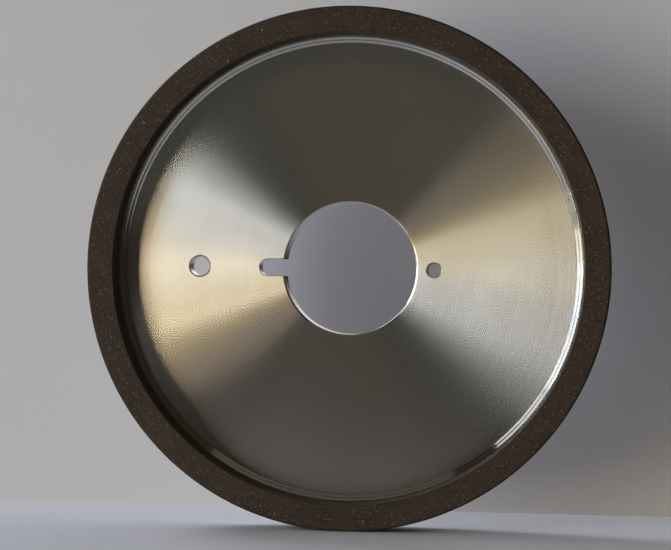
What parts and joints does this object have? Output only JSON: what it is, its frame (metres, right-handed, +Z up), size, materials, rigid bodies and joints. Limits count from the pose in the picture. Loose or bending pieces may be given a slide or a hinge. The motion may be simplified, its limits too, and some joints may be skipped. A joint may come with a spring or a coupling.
{
  "type": "diamond grinding wheel",
  "caption": "Straight-sided cup grinding wheel: a turned aluminium disc with a keyed bore, carrying a narrow dark resin-bond diamond ring around a flat recess.",
  "frame": {"origin": "centre of the bore in the flat back face of the aluminium body", "axes": "Y is the wheel's axis: +Y leaves through the back face and -Y through the open cup, past the working face; +Z is up with the wheel standing on its edge; the keyway and the larger hole are towards -X, the smaller hole towards +X"},
  "size_m": [0.125, 0.017, 0.125],
  "materials": {
    "body_aluminium": "fine circular turned finish",
    "plain_bond": "smooth moulded resin bond, almost black",
    "diamond_bond": "dark brown resin bond with fine diamond grit"
  },
  "bodies": {
    "root": {"wheel_body": "body_aluminium", "base_layer": "plain_bond", "abrasive_rim": "diamond_bond"}
  },
  "joints": []
}
